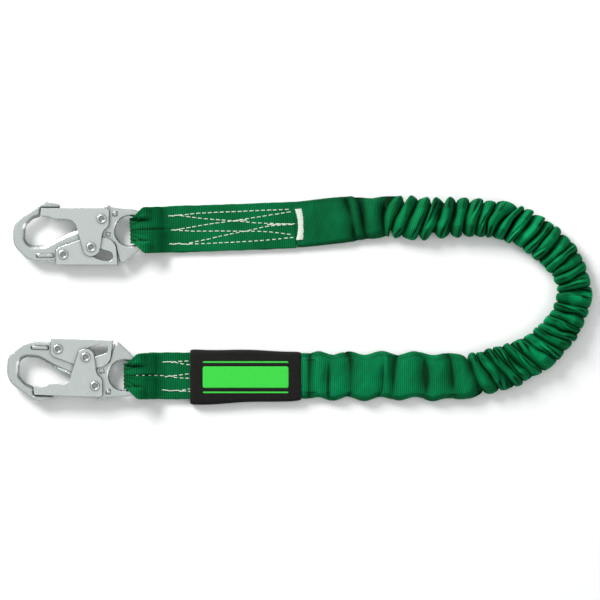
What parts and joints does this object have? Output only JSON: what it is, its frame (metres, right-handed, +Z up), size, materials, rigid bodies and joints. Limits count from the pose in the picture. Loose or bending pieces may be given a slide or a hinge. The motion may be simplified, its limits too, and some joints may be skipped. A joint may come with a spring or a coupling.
{
  "type": "shock absorbing lanyard",
  "caption": "Elasticated tubular webbing lanyard laid in a U, with a self-locking steel snap hook in a sewn loop at each end and a label cover on one leg.",
  "frame": {"origin": "on the ground under the middle of the whole lanyard's bounding box", "axes": "+Z up from the ground, +X along the legs from the hooks towards the bend, +Y from the labelled leg towards the other leg"},
  "size_m": [0.5606, 0.1993, 0.0201],
  "materials": {
    "forged_steel": "zinc plated forging, satin",
    "stamped_steel": "zinc plated sheet, satin",
    "rivet_steel": "zinc plated, bright",
    "spring_steel": "dark spring wire",
    "green_webbing": "cross-ribbed polyester webbing",
    "core_webbing": "undyed polyester webbing",
    "elastic": "covered elastic",
    "thread": "bonded thread",
    "label_fabric": "coated black cloth",
    "label_paper": "spun label sheet"
  },
  "bodies": {
    "main": {"main_sleeve": "green_webbing", "lower_core_webbing": "core_webbing", "elastic_bands": "elastic", "lower_end_loop": "green_webbing", "lower_stitching": "thread", "label_cover": "label_fabric", "label_pages": "label_paper"},
    "upper_leg": {"upper_end_loop": "green_webbing", "upper_sleeve": "green_webbing", "upper_core_webbing": "core_webbing", "upper_stitching": "thread", "upper_bar_tack": "thread"},
    "upper_hook": {"upper_hook_body": "forged_steel", "upper_hook_gate_spring": "spring_steel"},
    "upper_gate": {"upper_hook_gate": "stamped_steel", "upper_hook_gate_pivot": "rivet_steel", "upper_hook_lock_pin": "rivet_steel"},
    "upper_lock": {"upper_hook_lock_lever": "stamped_steel", "upper_hook_lever_pivot": "rivet_steel", "upper_hook_lock_spring": "spring_steel"},
    "lower_hook": {"lower_hook_body": "forged_steel", "lower_hook_gate_spring": "spring_steel"},
    "lower_gate": {"lower_hook_gate": "stamped_steel", "lower_hook_gate_pivot": "rivet_steel", "lower_hook_lock_pin": "rivet_steel"},
    "lower_lock": {"lower_hook_lock_lever": "stamped_steel", "lower_hook_lever_pivot": "rivet_steel", "lower_hook_lock_spring": "spring_steel"}
  },
  "joints": [
    {"name": "stretch", "type": "slide", "parent": "main", "child": "upper_leg", "axis": [-0.9993, -0.0384, 0], "range_m": [0, 0.06], "stiffness_N_per_m": 120},
    {"name": "upper_hook_swing", "type": "hinge", "parent": "upper_leg", "child": "upper_hook", "pos_m": [-0.1483, 0.066, 0.0092], "axis": [0, 1, 0], "range_deg": [-40, 40]},
    {"name": "upper_gate_swing", "type": "hinge", "parent": "upper_hook", "child": "upper_gate", "pos_m": [-0.1889, 0.0771, 0.0092], "axis": [0, 0, 1], "range_deg": [0, 30], "stiffness_Nm_per_rad": 0.25, "springref_deg": -28.65},
    {"name": "upper_lever_swing", "type": "hinge", "parent": "upper_hook", "child": "upper_lock", "pos_m": [-0.2256, 0.0432, 0.0092], "axis": [0, 0, 1], "range_deg": [0, 10], "stiffness_Nm_per_rad": 0.25, "springref_deg": -11.46},
    {"name": "lower_hook_swing", "type": "hinge", "parent": "main", "child": "lower_hook", "pos_m": [-0.15421, -0.07229, 0.0092], "axis": [-0.0349, -0.9994, 0], "range_deg": [-40, 40]},
    {"name": "lower_gate_swing", "type": "hinge", "parent": "lower_hook", "child": "lower_gate", "pos_m": [-0.19517, -0.08197, 0.0092], "axis": [0, 0, -1], "range_deg": [0, 30], "stiffness_Nm_per_rad": 0.25, "springref_deg": -28.65},
    {"name": "lower_lever_swing", "type": "hinge", "parent": "lower_hook", "child": "lower_lock", "pos_m": [-0.23067, -0.04681, 0.0092], "axis": [0, 0, -1], "range_deg": [0, 10], "stiffness_Nm_per_rad": 0.25, "springref_deg": -11.46}
  ],
  "couplings": [
    {"joint": "upper_lever_swing", "follows": "upper_gate_swing", "ratio": 0.33},
    {"joint": "lower_lever_swing", "follows": "lower_gate_swing", "ratio": 0.33}
  ]
}
